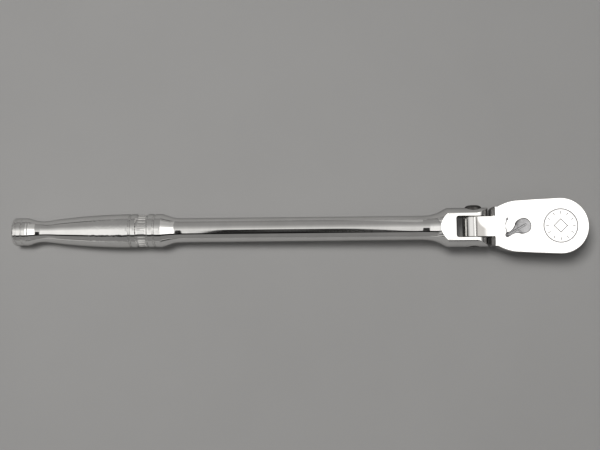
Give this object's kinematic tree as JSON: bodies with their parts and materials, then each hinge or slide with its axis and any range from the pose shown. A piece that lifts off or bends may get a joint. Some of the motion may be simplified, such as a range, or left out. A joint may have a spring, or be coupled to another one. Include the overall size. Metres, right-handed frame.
{
  "type": "ratchet wrench",
  "caption": "Long chrome flex-head ratchet wrench with a round waisted grip, a forked yoke, a paddle-shaped head with a reversing lever, and a square drive.",
  "frame": {"origin": "on the drive axis at the drive's shoulder, the plane a socket seats against", "axes": "+Z along the drive axis, away from the socket, towards the reversing lever; +X from the handle towards the head's round end"},
  "size_m": [0.2919, 0.0282, 0.0259],
  "materials": {
    "polished_chrome": "polished",
    "satin_lever": "satin",
    "black_oxide": "satin",
    "ground_steel": "satin",
    "spring_steel": "satin",
    "seal_rubber": "matte"
  },
  "bodies": {
    "handle": {"handle_bar": "polished_chrome", "pivot_screw": "black_oxide", "friction_washers": "ground_steel"},
    "head": {"head_body": "polished_chrome", "cover_plate": "ground_steel", "retaining_ring": "spring_steel", "cover_screw": "black_oxide", "thrust_washer": "ground_steel", "drive_seal": "seal_rubber", "forward_pawl_spring": "spring_steel", "reverse_pawl_spring": "spring_steel", "lever_seal": "seal_rubber", "detent_ball": "ground_steel", "detent_spring": "spring_steel"},
    "lever": {"reverse_lever": "satin_lever", "lever_cam": "ground_steel", "lever_clip": "spring_steel"},
    "forward_pawl": {"forward_pawl": "ground_steel"},
    "reverse_pawl": {"reverse_pawl": "ground_steel"},
    "drive": {"drive_gear": "polished_chrome", "drive_ball_spring": "spring_steel"},
    "ball": {"drive_ball": "ground_steel"}
  },
  "joints": [
    {"name": "flex_tilt", "type": "hinge", "parent": "handle", "child": "head", "pos_m": [-0.0426, 0, 0.0066], "axis": [0, -1, 0], "range_deg": [-90, 90]},
    {"name": "drive_spin", "type": "hinge", "parent": "head", "child": "drive", "pos_m": [0, 0, 0], "axis": [0, 0, 1], "continuous": true},
    {"name": "lever_turn", "type": "hinge", "parent": "head", "child": "lever", "pos_m": [-0.01875, 0, 0.0127], "axis": [0, 0, 1], "range_deg": [-60, 0]},
    {"name": "forward_pawl_slide", "type": "slide", "parent": "head", "child": "forward_pawl", "axis": [-0.866, -0.5, 0], "range_m": [0, 0.0009], "deforming": ["forward_pawl_spring"]},
    {"name": "reverse_pawl_slide", "type": "slide", "parent": "head", "child": "reverse_pawl", "axis": [-0.866, 0.5, 0], "range_m": [-0.0009, 0], "deforming": ["reverse_pawl_spring"]},
    {"name": "ball_press", "type": "slide", "parent": "drive", "child": "ball", "axis": [-1, 0, 0], "range_m": [0, 0.00075], "stiffness_N_per_m": 1500, "springref_m": -0.001, "deforming": ["drive_ball_spring"]}
  ],
  "couplings": [
    {"joint": "lever_turn", "follows": "forward_pawl_slide", "rad_per_m": -1163.6},
    {"joint": "reverse_pawl_slide", "follows": "forward_pawl_slide", "ratio": -1}
  ]
}
